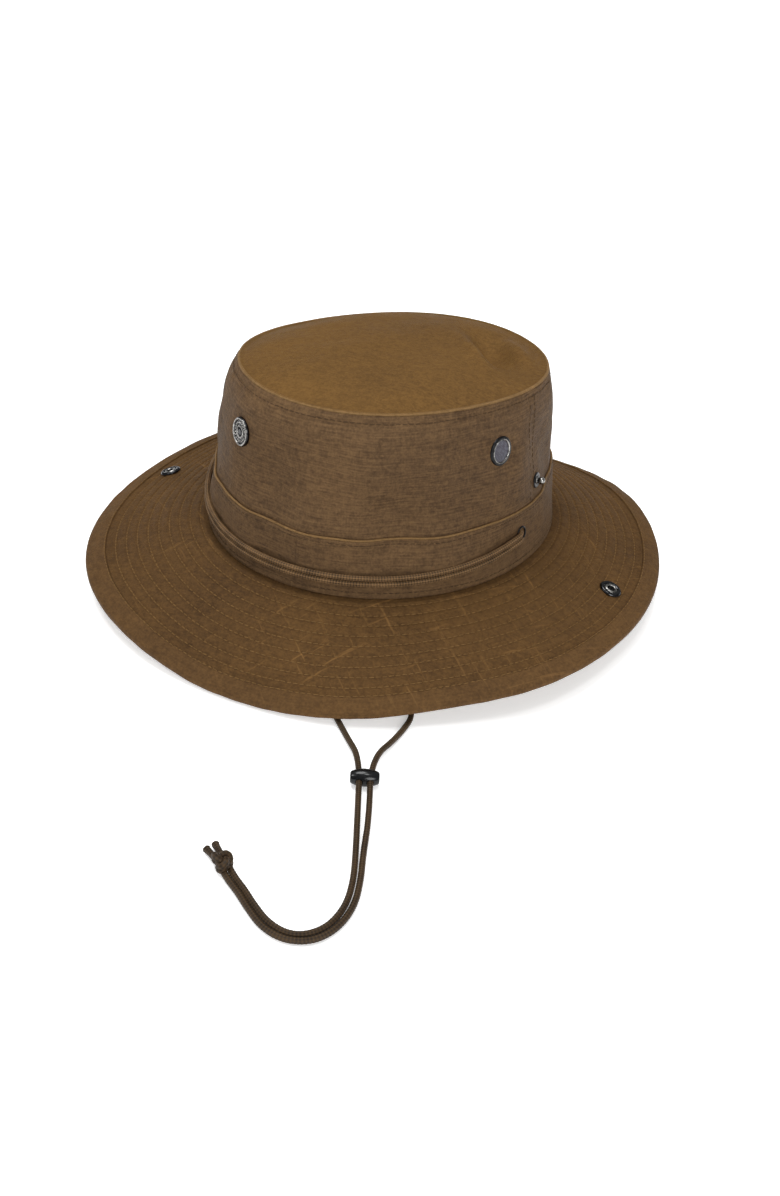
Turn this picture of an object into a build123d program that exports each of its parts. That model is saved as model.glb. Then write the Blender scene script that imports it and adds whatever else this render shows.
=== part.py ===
"""A boonie hat: waxed-canvas crown and brim, band, sweatband, snaps, vents and a chin cord.

+Z is up and the front is -Y, so +X is the wearer's left. The origin is on the surface that the
hat stands on, under the middle of the crown. An angle round the hat is measured from the front,
towards the wearer's left.
"""
from build123d import *
from math import cos, degrees, pi, radians, sin, tan
import os

# Crown: half axes of the ovals across and along the head.
JUNCTION_Z = 33.0
CROWN_HEIGHT = 91.5
BOTTOM_AXES = (93.0, 104.0)
TOP_AXES = (80.2, 96.5)
BACK_SLUMP = 11.0
BAND_HEIGHT = 31.0
SWEATBAND_HEIGHT = 34.0
CLOTH = 0.9
TIP_CLOTH = 1.2
SWEATBAND = 1.6
GAP = 0.05
SIDE_SEAM_Y = -12.5

# Brim: half axes of its edge, and the height of the edge below the crown.
BRIM_AXES = (153.65, 166.0)
EDGE_MEAN, EDGE_SIDE_LIFT, EDGE_CORNER_LIFT = -22.2, 5.2, 3.6
BRIM_CLOTH = 0.7
STIFFENER = 0.6
BINDING_CLOTH = 0.5
BINDING_START = 0.85
EDGE_POINTS = 36
HINGE_X = 97.0
HINGE_GAP = 0.35
INNER_SHARE, EDGE_SHARE = 0.005, 1.012
LARGE = 400.0

# Fittings. A pair of heights gives where a part starts and ends along its axis, out of the cloth.
VENT_ANGLES = (67.0, 113.0, -67.0, -113.0)
VENT_HEIGHT = 66.5
VENT_R, VENT_BARREL_R, VENT_HOLE_R = 7.65, 6.3, 5.5
EYELET_ANGLE, EYELET_HEIGHT = 76.0, 17.5
EYELET_R, EYELET_BARREL_R, EYELET_HOLE_R = 4.0, 3.45, 3.1
SNAP_Y = -5.0
STUD_HEIGHT = 39.0
STUD_FLANGE_R, STUD_NECK_R, STUD_BALL_R = 5.3, 1.3, 2.0
SOCKET_X = 133.7
SOCKET_R, SOCKET_HOLE_R = 6.0, 2.3
EMBLEM_ANGLE, EMBLEM_HEIGHT, EMBLEM_R = -29.3, 67.2, 7.2
HOLE_CLEARANCE = 0.1
DRILL = (-8.0, 8.0)
VENT_FLANGE, VENT_BARREL, VENT_BACK, VENT_SCREEN = (0.05, 1.0), (-1.7, 0.1), (-2.1, -1.4), (0.0, 0.35)
EYELET_FLANGE, EYELET_BARREL, EYELET_BACK = (0.05, 0.6), (-4.2, 0.1), (-4.35, -3.75)
EYELET_WASHER_R = 5.0
STUD_FLANGE, STUD_NECK, STUD_BACK, STUD_BALL_Z = (0.12, 0.8), (-1.6, 2.2), (-2.0, -1.25), 3.0
STUD_WASHER_R = 4.2
SOCKET_BASE, SOCKET_FACE, SOCKET_SLEEVE = (1.35, 1.9), (1.3, 2.7), (-1.2, 1.4)
SOCKET_FACE_R, SLEEVE_R, SLEEVE_HOLE_R, SOCKET_CUT_R = 4.8, 2.5, 1.9, 2.6
CAP_PLATE, CAP_POST, CAP_POST_R = (-2.4, -1.45), (-1.5, 0.6), 1.8
EMBLEM_BODY, EMBLEM_RECESS, EMBLEM_POST, EMBLEM_BACK = (0.1, 1.7), (1.3, 2.0), (-1.8, 0.2), (-2.0, -1.2)
EMBLEM_RIM, EMBLEM_POST_R, EMBLEM_WASHER_R = 1.0, 1.5, 4.0

# Cord. The strands lie on the surface that the hat stands on, which is at height 0.
CORD_R = 1.45
STRAND_SPACING = 3.0
CORD_STANDOFF = 1.75
EYELET_STANDOFF = 2.65
CORD_REST, CORD_RISE = 10.5, 7.0
INNER_X, INNER_Y = 83.0, -24.1
EYELET_INNER_Z = JUNCTION_Z + EYELET_HEIGHT - 0.7
STOP_R = 1.9
STOP_OFFSET = 0.9
CORD_STEPS = 12
TOGGLE_CENTRE = (78.0, -187.0, 4.0)
TOGGLE_HEADING = (0.4, -0.9165, 0.0)
TOGGLE_LENGTH, TOGGLE_R, TOGGLE_END_R = 13.0, 4.0, 2.5
BORE_SPACING, BORE_R = 4.9, 1.65
TOGGLE_ROUNDING = 1.2
KNOT_CENTRE, KNOT_R = (49.6, -260.8, 3.9), 3.9

CHIN_CORD_LEFT = [
    (83.0, -24.1, 51.3),
    (77.4, -22.9, 50.5),
    (73.6, -23.0, 44.5),
    (72.6, -26.0, 32.0),
    (73.5, -32.5, 19.0),
    (70.5, -42.0, 8.5),
    (62.0, -53.5, 2.4),
    (47.0, -68.0, 1.45),
    (31.0, -83.0, 1.45),
    (25.5, -102.0, 1.45),
    (38.0, -116.0, 1.45),
    (60.0, -118.5, 1.45),
    (77.5, -128.0, 1.45),
    (78.0, -150.0, 1.45),
    (74.9, -173.8, 4.0),
    (90.5, -209.4, 4.0),
    (97.0, -228.9, 1.45),
    (102.6, -243.1, 1.45),
    (106.5, -257.5, 1.45),
    (105.6, -271.2, 1.45),
    (100.1, -280.9, 1.45),
    (90.4, -285.1, 1.45),
    (79.9, -283.1, 1.45),
    (70.7, -277.2, 1.45),
    (62.2, -270.8, 1.45),
    (54.9, -266.4, 1.45),
    (51.6, -263.8, 2.0),
]
CHIN_CORD_RIGHT = [
    (-83.0, -24.1, 48.3),
    (-77.4, -22.9, 47.5),
    (-73.6, -23.0, 41.5),
    (-72.8, -26.5, 30.0),
    (-72.5, -33.0, 18.0),
    (-69.5, -42.5, 8.5),
    (-61.0, -54.5, 2.4),
    (-45.0, -72.0, 1.45),
    (-25.5, -91.0, 1.45),
    (-5.0, -108.5, 1.45),
    (16.5, -125.0, 1.45),
    (38.0, -142.0, 1.45),
    (56.5, -161.0, 1.45),
    (70.4, -175.8, 4.0),
    (86.0, -211.4, 4.0),
    (94.2, -230.1, 1.45),
    (99.8, -243.9, 1.45),
    (103.3, -257.5, 1.45),
    (102.6, -270.0, 1.45),
    (97.7, -278.1, 1.45),
    (90.6, -281.8, 1.45),
    (81.0, -280.1, 1.45),
    (72.3, -274.8, 1.45),
    (63.8, -268.4, 1.45),
    (56.7, -264.0, 1.45),
    (53.4, -261.4, 2.0),
]
CORD_TAILS = [
    [(47.6, -260.9, 3.0), (44.4, -258.8, 2.2), (39.2, -255.6, 1.5)],
    [(48.6, -258.2, 3.0), (45.6, -255.8, 2.4), (41.0, -251.6, 1.6)],
]


def crown_axes(height, inset=0.0):
    """Half axes of the crown at a height above the brim."""
    share = height / CROWN_HEIGHT
    return [b + (t - b) * share - inset for b, t in zip(BOTTOM_AXES, TOP_AXES)]


def crown_solid(inset, bottom, top):
    """The solid inside the crown's wall, between two heights above the brim."""
    ovals = [
        Plane.XY.offset(JUNCTION_Z + height) * Ellipse(*crown_axes(height, inset))
        for height in (bottom, top)
    ]
    return loft(ovals, ruled=True)


def crown_ring(inset, thickness, bottom, top):
    return crown_solid(inset, bottom, top) - crown_solid(inset + thickness, bottom - 1, top + 1)


def on_crown(angle, height, inset=0.0, offset=0.0):
    """A plane on the crown's wall: z points out, x goes round the crown."""
    across, along = crown_axes(height, inset)
    side, ahead = sin(radians(angle)), cos(radians(angle))
    slopes = [(t - b) / CROWN_HEIGHT for b, t in zip(BOTTOM_AXES, TOP_AXES)]
    lean = side**2 * slopes[0] / across + ahead**2 * slopes[1] / along
    normal = Vector(side / across, -ahead / along, -lean).normalized()
    place = Vector(across * side, -along * ahead, JUNCTION_Z + height) + normal * offset
    return Plane(origin=place, z_dir=normal, x_dir=Vector(0, 0, 1).cross(normal))


def above_tip(drop):
    """Everything above the tip, whose height falls away towards the back."""
    top = JUNCTION_Z + CROWN_HEIGHT - drop
    reach = TOP_AXES[1] + 20
    front, middle, back = [
        (y, top - BACK_SLUMP * ((y + TOP_AXES[1]) / (2 * TOP_AXES[1])) ** 2) for y in (-reach, 0, reach)
    ]
    arc = ThreePointArc(front, middle, back)
    lid = Polyline(back, (reach, top + LARGE), (-reach, top + LARGE), front)
    return extrude(Plane.YZ * make_face(arc + lid), LARGE, both=True)


def ring(outer, inner, low, high):
    """A flat ring along z, between two heights."""
    shape = Pos(0, 0, low) * Cylinder(outer, high - low, align=(Align.CENTER, Align.CENTER, Align.MIN))
    if inner:
        shape -= Cylinder(inner, LARGE)
    return shape


def brim_point(angle, share, lift=0.0):
    """A point of the brim, share 0 at the crown and 1 at the edge."""
    turn = radians(angle)
    across, along = [b + (e - b) * share for b, e in zip(BOTTOM_AXES, BRIM_AXES)]
    fall = EDGE_MEAN - EDGE_SIDE_LIFT * cos(2 * turn) - EDGE_CORNER_LIFT * cos(4 * turn)
    return (across * sin(turn), -along * cos(turn), JUNCTION_Z + fall * share + lift)


def brim_layer(start, end, low, thickness):
    """A sheet of the brim between two shares of its width."""
    rims = [
        Edge.make_spline(
            [brim_point(360 * i / EDGE_POINTS, share, low) for i in range(EDGE_POINTS)], periodic=True
        )
        for share in (start, end)
    ]
    return Solid.extrude(Face.make_surface_from_curves(*rims), Vector(0, 0, thickness))


def beside(side):
    """A block over the part of the brim that folds up on one side, or over the middle for 0."""
    if side == 0:
        return Box(2 * (HINGE_X - HINGE_GAP / 2), LARGE, LARGE)
    return Pos(side * (HINGE_X + HINGE_GAP / 2 + LARGE / 2), 0, 0) * Box(LARGE, LARGE, LARGE)


def tube(route, radius=CORD_R, name=""):
    """A cord along straight runs joined by arcs as large as the runs allow."""
    points = [Vector(*p) for p in route]
    runs = [b - a for a, b in zip(points, points[1:])]
    radii = []
    for before, after in zip(runs, runs[1:]):
        turn = radians(before.get_angle(after))
        radii.append(0.45 * min(before.length, after.length) / tan(turn / 2))
    path = FilletPolyline(*points, radius=radii)
    profile = Plane(origin=path @ 0, z_dir=path % 0) * Circle(radius)
    solid = sweep(profile, path=path)
    share = solid.volume / (pi * radius**2 * path.length)
    print(f"{name}: length {path.length:.1f}, tightest {min(radii):.1f}, volume share {share:.4f}")
    return solid


def crown_cord(offset, name):
    """A strand round the front of the crown, from inside one eyelet to inside the other."""
    inner = (INNER_X, INNER_Y, EYELET_INNER_Z + offset)
    mouth = on_crown(EYELET_ANGLE, EYELET_HEIGHT + offset, offset=EYELET_STANDOFF).origin
    points = [inner, tuple(mouth)]
    for step in range(1, CORD_STEPS + 1):
        angle = EYELET_ANGLE * (1 - step / CORD_STEPS)
        height = CORD_REST + CORD_RISE * (angle / EYELET_ANGLE) ** 3 + offset
        points.append(tuple(on_crown(angle, height, offset=CORD_STANDOFF + 0.3).origin))
    mirrored = [(-x, y, z) for x, y, z in reversed(points[:-1])]
    return tube(points + mirrored, name=name)


def vent_place(angle):
    return on_crown(angle, VENT_HEIGHT, inset=CLOTH + GAP)


def stud_place(side):
    """Where a snap stud stands, in line with the socket on the folded brim."""
    along = crown_axes(STUD_HEIGHT, CLOTH + GAP)[1]
    return on_crown(side * (90 + degrees(SNAP_Y / along)), STUD_HEIGHT, inset=CLOTH + GAP)


def eyelet_place(side):
    return on_crown(side * EYELET_ANGLE, EYELET_HEIGHT)


def emblem_place():
    return on_crown(EMBLEM_ANGLE, EMBLEM_HEIGHT, inset=CLOTH + GAP)


def wall_cuts():
    """What is drilled out of the crown's cloth for the vents, studs, eyelets and emblem."""
    cuts = [vent_place(a) * ring(VENT_BARREL_R + HOLE_CLEARANCE, 0, *DRILL) for a in VENT_ANGLES]
    for side in (1, -1):
        cuts.append(eyelet_place(side) * ring(EYELET_BARREL_R + HOLE_CLEARANCE, 0, *DRILL))
        cuts.append(stud_place(side) * ring(STUD_NECK_R + HOLE_CLEARANCE, 0, *DRILL))
    cuts.append(emblem_place() * ring(EMBLEM_POST_R + HOLE_CLEARANCE, 0, *DRILL))
    return cuts


def half_space(side, y):
    """Everything in front of a plane across the hat for -1, or behind it for 1."""
    return Pos(0, y + side * (LARGE + GAP) / 2, 0) * Box(LARGE, LARGE, LARGE)


def make_crown(nodes):
    over_the_top = CROWN_HEIGHT + 4
    wall = crown_ring(CLOTH + GAP, CLOTH, 0, over_the_top) - above_tip(TIP_CLOTH + 2 * GAP)
    band = crown_ring(0, CLOTH, 0, BAND_HEIGHT)
    sweatband = crown_ring(2 * (CLOTH + GAP), SWEATBAND, 0, SWEATBAND_HEIGHT)
    for cut in wall_cuts():
        wall -= cut
        band -= cut
        sweatband -= cut
    nodes["crown_front_panel"] = wall & half_space(-1, SIDE_SEAM_Y)
    nodes["crown_back_panel"] = wall & half_space(1, SIDE_SEAM_Y)
    disc = crown_solid(CLOTH + GAP, CROWN_HEIGHT - 2 * BACK_SLUMP, over_the_top)
    nodes["crown_tip"] = (disc & above_tip(TIP_CLOTH)) - above_tip(0)
    nodes["hat_band"] = band
    nodes["sweatband"] = sweatband


def make_brim(nodes):
    stack = BRIM_CLOTH * 2 + STIFFENER + 2 * GAP
    low = -stack / 2
    layers = {
        "brim_under_cloth": (low, BRIM_CLOTH),
        "brim_stiffener": (low + BRIM_CLOTH + GAP, STIFFENER),
        "brim_upper_cloth": (low + BRIM_CLOTH + STIFFENER + 2 * GAP, BRIM_CLOTH),
    }
    sides = {"centre": 0, "left": 1, "right": -1}
    cuts = [socket_place(side) * ring(SOCKET_CUT_R, 0, *DRILL) for side in (1, -1)]
    for name, (height, thickness) in layers.items():
        sheet = brim_layer(INNER_SHARE, 1.0, height, thickness)
        for cut in cuts:
            sheet -= cut
        for word, side in sides.items():
            nodes[f"{name}_{word}"] = sheet & beside(side)
    wrap = stack + 2 * (BINDING_CLOTH + GAP)
    binding = brim_layer(BINDING_START, EDGE_SHARE, -wrap / 2, wrap)
    binding -= brim_layer(BINDING_START - 0.1, 1.001, low - GAP, stack + 2 * GAP)
    nodes["brim_binding_left"] = binding & beside(1)
    nodes["brim_binding_right"] = binding & beside(-1)
    middle = binding & beside(0)
    nodes["brim_binding_front"] = middle & half_space(-1, 0)
    nodes["brim_binding_back"] = middle & half_space(1, 0)


def socket_place(side):
    """A plane on the brim at a snap socket: z stands square to the cloth."""
    share = (SOCKET_X - BOTTOM_AXES[0]) / (BRIM_AXES[0] - BOTTOM_AXES[0])
    along = BOTTOM_AXES[1] + (BRIM_AXES[1] - BOTTOM_AXES[1]) * share
    angle = 90 + degrees(SNAP_Y / along)
    here = Vector(*brim_point(side * angle, share))
    out = Vector(*brim_point(side * angle, share + 0.05)) - here
    onward = Vector(*brim_point(side * (angle + 1), share)) - here
    normal = onward.cross(out).normalized()
    if normal.Z < 0:
        normal = normal * -1
    return Plane(origin=here, z_dir=normal, x_dir=out)


def make_snaps(nodes):
    studs, washers = [], []
    for side in (1, -1):
        stud = ring(STUD_FLANGE_R, 0, *STUD_FLANGE) + ring(STUD_NECK_R, 0, *STUD_NECK)
        stud += Pos(0, 0, STUD_BALL_Z) * Sphere(STUD_BALL_R)
        studs.append(stud_place(side) * stud)
        washers.append(stud_place(side) * ring(STUD_WASHER_R, STUD_NECK_R + GAP, *STUD_BACK))
    nodes["snap_studs"] = studs
    nodes["snap_stud_washers"] = washers
    for word, side in (("left", 1), ("right", -1)):
        socket = ring(SOCKET_R, SOCKET_HOLE_R, *SOCKET_BASE)
        socket += ring(SOCKET_FACE_R, SOCKET_HOLE_R, *SOCKET_FACE)
        socket += ring(SLEEVE_R, SLEEVE_HOLE_R, *SOCKET_SLEEVE)
        cap = ring(SOCKET_R, 0, *CAP_PLATE) + ring(CAP_POST_R, 0, *CAP_POST)
        nodes[f"snap_socket_{word}"] = socket_place(side) * socket
        nodes[f"snap_cap_{word}"] = socket_place(side) * cap


def make_vents(nodes):
    grommet = ring(VENT_R, VENT_HOLE_R, *VENT_FLANGE) + ring(VENT_BARREL_R, VENT_HOLE_R, *VENT_BARREL)
    washer = ring(VENT_R, VENT_BARREL_R + GAP, *VENT_BACK)
    screen = ring(VENT_HOLE_R - GAP / 2, 0, *VENT_SCREEN)
    for name, shape in (("grommets", grommet), ("washers", washer), ("screens", screen)):
        nodes["vent_" + name] = [vent_place(angle) * shape for angle in VENT_ANGLES]


def make_eyelets(nodes):
    eyelet = ring(EYELET_R, EYELET_HOLE_R, *EYELET_FLANGE)
    eyelet += ring(EYELET_BARREL_R, EYELET_HOLE_R, *EYELET_BARREL)
    washer = ring(EYELET_WASHER_R, EYELET_BARREL_R + GAP, *EYELET_BACK)
    nodes["cord_eyelets"] = [eyelet_place(side) * eyelet for side in (1, -1)]
    nodes["eyelet_washers"] = [eyelet_place(side) * washer for side in (1, -1)]


def make_emblem(nodes):
    disc = ring(EMBLEM_R, 0, *EMBLEM_BODY) - ring(EMBLEM_R - EMBLEM_RIM, 0, *EMBLEM_RECESS)
    disc += ring(EMBLEM_POST_R, 0, *EMBLEM_POST)
    nodes["emblem_disc"] = emblem_place() * disc
    nodes["emblem_washer"] = emblem_place() * ring(EMBLEM_WASHER_R, EMBLEM_POST_R + GAP, *EMBLEM_BACK)


def make_cords(nodes):
    half = STRAND_SPACING / 2
    nodes["crown_cord_upper"] = crown_cord(half, "crown_cord_upper")
    nodes["crown_cord_lower"] = crown_cord(-half, "crown_cord_lower")
    nodes["chin_cord_left"] = tube(CHIN_CORD_LEFT, name="chin_cord_left")
    nodes["chin_cord_right"] = tube(CHIN_CORD_RIGHT, name="chin_cord_right")
    apart = half + STOP_OFFSET
    nodes["cord_stops"] = [
        Pos(side * (INNER_X - STOP_R - GAP), INNER_Y, EYELET_INNER_Z - side * apart) * Sphere(STOP_R)
        for side in (1, -1)
    ]
    nodes["cord_knot"] = Pos(*KNOT_CENTRE) * Sphere(KNOT_R)
    nodes["cord_tails"] = [tube(route, name="cord_tail") for route in CORD_TAILS]


def make_toggle(nodes):
    half = TOGGLE_LENGTH / 2
    arc = ThreePointArc((-half, TOGGLE_END_R), (0, TOGGLE_R), (half, TOGGLE_END_R))
    edge = Polyline((half, TOGGLE_END_R), (half, 0), (-half, 0), (-half, TOGGLE_END_R))
    barrel = revolve(make_face(arc + edge), Axis.X)
    barrel = fillet(barrel.edges().filter_by(GeomType.CIRCLE), TOGGLE_ROUNDING)
    for side in (-1, 1):
        barrel -= Pos(side * BORE_SPACING / 2, 0, 0) * Rot(90, 0, 0) * Cylinder(BORE_R, LARGE)
    heading = Vector(*TOGGLE_HEADING)
    across = Vector(0, 0, 1).cross(heading)
    nodes["cord_toggle"] = Plane(origin=TOGGLE_CENTRE, x_dir=across, z_dir=(0, 0, 1)) * barrel


def main():
    nodes = {}
    for make in (make_crown, make_brim, make_snaps, make_vents, make_eyelets, make_emblem):
        make(nodes)
    make_cords(nodes)
    make_toggle(nodes)
    os.makedirs("parts", exist_ok=True)
    for name, shape in nodes.items():
        shapes = shape if isinstance(shape, list) else [shape]
        solids = [solid for item in shapes for solid in item.solids()]
        whole = solids[0] if len(solids) == 1 else Compound(children=solids)
        whole.label = name
        export_step(whole, f"parts/{name}.step")


main()
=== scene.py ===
import bmesh
import bpy
from math import cos, degrees, pi, radians, sin, sqrt
import numpy as np
from mathutils import Matrix, Vector


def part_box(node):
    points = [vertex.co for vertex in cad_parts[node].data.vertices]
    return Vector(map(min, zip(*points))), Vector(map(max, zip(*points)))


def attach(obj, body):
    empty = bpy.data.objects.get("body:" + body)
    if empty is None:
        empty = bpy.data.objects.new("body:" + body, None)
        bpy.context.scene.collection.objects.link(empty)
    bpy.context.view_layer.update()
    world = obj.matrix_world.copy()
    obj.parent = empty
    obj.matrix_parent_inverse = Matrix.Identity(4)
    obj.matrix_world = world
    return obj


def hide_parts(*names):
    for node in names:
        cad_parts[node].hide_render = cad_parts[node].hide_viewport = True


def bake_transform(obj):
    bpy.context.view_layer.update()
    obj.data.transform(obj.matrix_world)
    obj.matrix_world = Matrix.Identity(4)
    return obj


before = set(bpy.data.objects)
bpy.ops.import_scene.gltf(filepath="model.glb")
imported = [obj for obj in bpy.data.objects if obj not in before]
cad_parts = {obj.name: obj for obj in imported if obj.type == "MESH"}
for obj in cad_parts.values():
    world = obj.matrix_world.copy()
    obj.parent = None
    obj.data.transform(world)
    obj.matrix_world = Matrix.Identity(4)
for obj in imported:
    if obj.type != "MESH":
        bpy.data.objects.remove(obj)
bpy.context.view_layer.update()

MM = 0.001

# ---------------------------------------------------------------- sizes, from the frame
band_low, band_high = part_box("hat_band")
centre_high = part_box("brim_under_cloth_centre")[1]
flap_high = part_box("brim_under_cloth_left")[1]
JUNCTION_Z = band_low[2]
BOTTOM_AXES = (band_high[0], band_high[1])
TOP_AXES = (0.0802, 0.0965)
CROWN_HEIGHT = 0.0915
SHOULDER, SHOULDER_START = 0.0052, 0.86
BACK_SLUMP = 0.011
BAND_HEIGHT = band_high[2] - band_low[2]
BRIM_AXES = (flap_high[0], centre_high[1])
EDGE_MEAN, EDGE_SIDE_LIFT, EDGE_CORNER_LIFT = -0.0222, 0.0052, 0.0036
CLOTH = 0.0009
INSET = 0.00095
BRIM_HALF = 0.00105
OUTLINE = ((-0.02, 0.42, -0.0045), (-0.85, 0.35, 0.0035), (0.98, 0.22, 0.0025), (0.62, 0.18, -0.0015))
EDGE_WAVES = ((-0.02, 0.40, 0.0010), (-0.9, 0.35, -0.0020), (0.70, 0.25, -0.0012))
HEM_START = 0.85
ROWS = 9
VENT_ANGLES, VENT_HEIGHT, VENT_CUT = (67.0, 113.0, -67.0, -113.0), 0.0665, 0.0065
EYELET_ANGLE, EYELET_HEIGHT = 76.0, 0.0175
STUD_HEIGHT, SNAP_Y, SOCKET_X = 0.039, -0.005, 0.1337
EMBLEM_ANGLE, EMBLEM_HEIGHT = -29.3, 0.0672
CORD_R = 0.00145

# The chin cord's routes, the same points as the CAD tubes have, in millimetres.
CHIN_CORD_LEFT = [
    (83.0, -24.1, 51.3), (77.4, -22.9, 50.5), (73.6, -23.0, 44.5), (72.6, -26.0, 32.0),
    (73.5, -32.5, 19.0), (70.5, -42.0, 8.5), (62.0, -53.5, 2.4), (47.0, -68.0, 1.45),
    (31.0, -83.0, 1.45), (25.5, -102.0, 1.45), (38.0, -116.0, 1.45), (60.0, -118.5, 1.45),
    (77.5, -128.0, 1.45), (78.0, -150.0, 1.45), (74.9, -173.8, 4.0), (90.5, -209.4, 4.0),
    (97.0, -228.9, 1.45), (102.6, -243.1, 1.45), (106.5, -257.5, 1.45), (105.6, -271.2, 1.45),
    (100.1, -280.9, 1.45), (90.4, -285.1, 1.45), (79.9, -283.1, 1.45), (70.7, -277.2, 1.45),
    (62.2, -270.8, 1.45), (54.9, -266.4, 1.45), (51.6, -263.8, 2.0),
]
CHIN_CORD_RIGHT = [
    (-83.0, -24.1, 48.3), (-77.4, -22.9, 47.5), (-73.6, -23.0, 41.5), (-72.8, -26.5, 30.0),
    (-72.5, -33.0, 18.0), (-69.5, -42.5, 8.5), (-61.0, -54.5, 2.4), (-45.0, -72.0, 1.45),
    (-25.5, -91.0, 1.45), (-5.0, -108.5, 1.45), (16.5, -125.0, 1.45), (38.0, -142.0, 1.45),
    (56.5, -161.0, 1.45), (70.4, -175.8, 4.0), (86.0, -211.4, 4.0), (94.2, -230.1, 1.45),
    (99.8, -243.9, 1.45), (103.3, -257.5, 1.45), (102.6, -270.0, 1.45), (97.7, -278.1, 1.45),
    (90.6, -281.8, 1.45), (81.0, -280.1, 1.45), (72.3, -274.8, 1.45), (63.8, -268.4, 1.45),
    (56.7, -264.0, 1.45), (53.4, -261.4, 2.0),
]
CORD_TAILS = [
    [(47.6, -260.9, 3.0), (44.4, -258.8, 2.2), (39.2, -255.6, 1.5)],
    [(48.6, -258.2, 3.0), (45.6, -255.8, 2.4), (41.0, -251.6, 1.6)],
]


# ---------------------------------------------------------------- camera
def make_camera():
    data = bpy.data.cameras.new("camera")
    data.sensor_fit = "HORIZONTAL"
    data.lens = 61.74
    camera = bpy.data.objects.new("camera", data)
    bpy.context.collection.objects.link(camera)
    turn = Matrix.Rotation(radians(22.09), 4, "Z") @ Matrix.Rotation(radians(90 - 31.63), 4, "X")
    turn = turn @ Matrix.Rotation(radians(3.95), 4, "Z")
    camera.matrix_world = Matrix.Translation((0.2544, -0.6068, 0.3771)) @ turn
    bpy.context.scene.camera = camera


# ---------------------------------------------------------------- node helpers
class Nodes:
    """A small wrapper that adds nodes to a material and links them."""

    def __init__(self, name):
        self.material = bpy.data.materials.new(name)
        self.material.use_nodes = True
        self.tree = self.material.node_tree
        self.shader = self.tree.nodes["Principled BSDF"]

    def add(self, kind, inputs=None, **settings):
        node = self.tree.nodes.new(kind)
        for key, value in settings.items():
            setattr(node, key, value)
        for key, value in (inputs or {}).items():
            self.put(node.inputs[key], value)
        return node

    def put(self, socket, value):
        if isinstance(value, bpy.types.NodeSocket):
            self.tree.links.new(value, socket)
        else:
            socket.default_value = value

    def math(self, operation, a, b=0.0, clamp=False):
        node = self.add("ShaderNodeMath", {0: a, 1: b}, operation=operation, use_clamp=clamp)
        return node.outputs[0]

    def ramp(self, value, low, high, start=0.0, end=1.0):
        node = self.add(
            "ShaderNodeMapRange",
            {"Value": value, "From Min": low, "From Max": high, "To Min": start, "To Max": end},
        )
        return node.outputs[0]

    def noise(self, vector, scale, detail=3.0, rough=0.5):
        inputs = {"Vector": vector, "Scale": scale, "Detail": detail, "Roughness": rough}
        return self.add("ShaderNodeTexNoise", inputs).outputs["Fac"]

    def scaled(self, vector, factors):
        node = self.add("ShaderNodeVectorMath", {0: vector, 1: factors}, operation="MULTIPLY")
        return node.outputs[0]

    def mix(self, factor, a, b, blend="MIX"):
        node = self.add("ShaderNodeMix", data_type="RGBA", blend_type=blend)
        self.put(node.inputs[0], factor)
        self.put(node.inputs[6], a)
        self.put(node.inputs[7], b)
        return node.outputs[2]

    def bump(self, height, distance, strength=1.0, normal=None):
        inputs = {"Height": height, "Distance": distance, "Strength": strength}
        if normal is not None:
            inputs["Normal"] = normal
        return self.add("ShaderNodeBump", inputs).outputs[0]

    def set(self, **values):
        for key, value in values.items():
            self.put(self.shader.inputs[key.replace("_", " ")], value)


def rgb(*values):
    """A colour given as display values 0 to 255, as linear light."""
    linear = [v / 255 / 12.92 if v <= 10 else ((v / 255 + 0.055) / 1.055) ** 2.4 for v in values]
    return (*linear, 1.0)


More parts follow.
